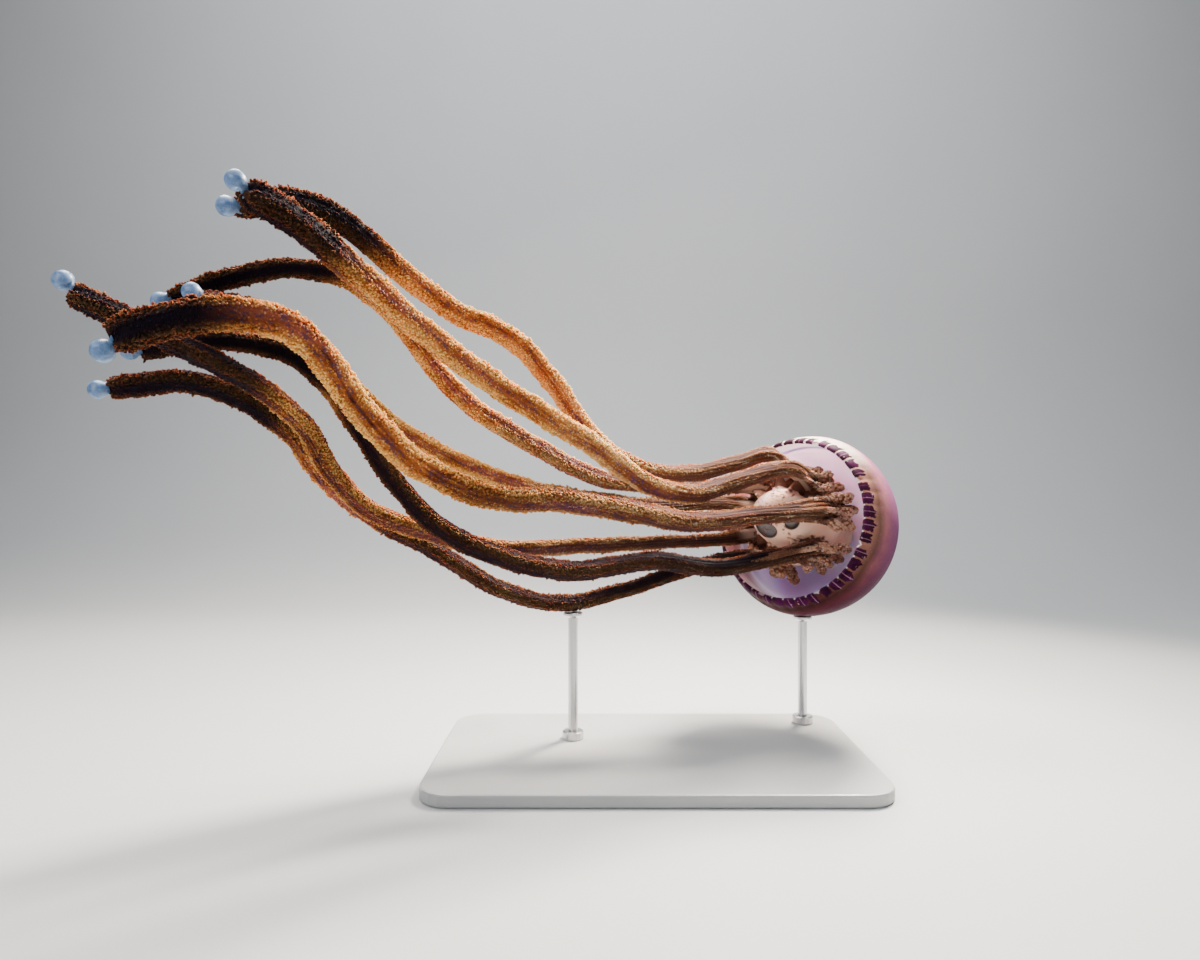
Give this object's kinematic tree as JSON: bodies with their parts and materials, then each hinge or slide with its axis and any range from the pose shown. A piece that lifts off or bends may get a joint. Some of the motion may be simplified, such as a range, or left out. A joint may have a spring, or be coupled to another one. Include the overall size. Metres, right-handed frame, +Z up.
{
  "type": "whip-armed jellyfish",
  "caption": "Life-size still model of a swimming whip-armed jellyfish: domed bell, long frilled mouth arms ending in clubs, on a low display stand.",
  "frame": {"origin": "middle of the stand's underside", "axes": "+Z up; -Y is the side it is seen from; +X runs to the bell, -X to the arms' tips"},
  "size_m": [0.7343, 0.4913, 0.5051],
  "materials": {
    "bell_jelly": "translucent mauve jelly, pale lavender inside",
    "lappet_jelly": "translucent mauve jelly with dark purple lappet patches",
    "disc_jelly": "smooth peach jelly",
    "arm_frill": "granular orange-brown mouthlets with purple grooves",
    "club_jelly": "clear pale blue jelly",
    "stand_paint": "satin powder coat",
    "stand_steel": "brushed"
  },
  "bodies": {
    "root": {"bell": "bell_jelly", "bell_margin": "lappet_jelly", "arm_disc": "disc_jelly", "arm_1_inner": "arm_frill", "arm_1_middle": "arm_frill", "arm_1_outer": "arm_frill", "arm_1_fingers": "arm_frill", "arm_1_club": "club_jelly", "arm_2_inner": "arm_frill", "arm_2_middle": "arm_frill", "arm_2_outer": "arm_frill", "arm_2_fingers": "arm_frill", "arm_2_club": "club_jelly", "arm_3_inner": "arm_frill", "arm_3_middle": "arm_frill", "arm_3_outer": "arm_frill", "arm_3_fingers": "arm_frill", "arm_3_club": "club_jelly", "arm_4_inner": "arm_frill", "arm_4_middle": "arm_frill", "arm_4_outer": "arm_frill", "arm_4_fingers": "arm_frill", "arm_4_club": "club_jelly", "arm_5_inner": "arm_frill", "arm_5_middle": "arm_frill", "arm_5_outer": "arm_frill", "arm_5_fingers": "arm_frill", "arm_5_club": "club_jelly", "arm_6_inner": "arm_frill", "arm_6_middle": "arm_frill", "arm_6_outer": "arm_frill", "arm_6_fingers": "arm_frill", "arm_6_club": "club_jelly", "arm_7_inner": "arm_frill", "arm_7_middle": "arm_frill", "arm_7_outer": "arm_frill", "arm_7_fingers": "arm_frill", "arm_7_club": "club_jelly", "arm_8_inner": "arm_frill", "arm_8_middle": "arm_frill", "arm_8_outer": "arm_frill", "arm_8_fingers": "arm_frill", "arm_8_club": "club_jelly", "stand_base": "stand_paint", "stand_rod_bell": "stand_steel", "stand_rod_arms": "stand_steel"}
  },
  "joints": []
}
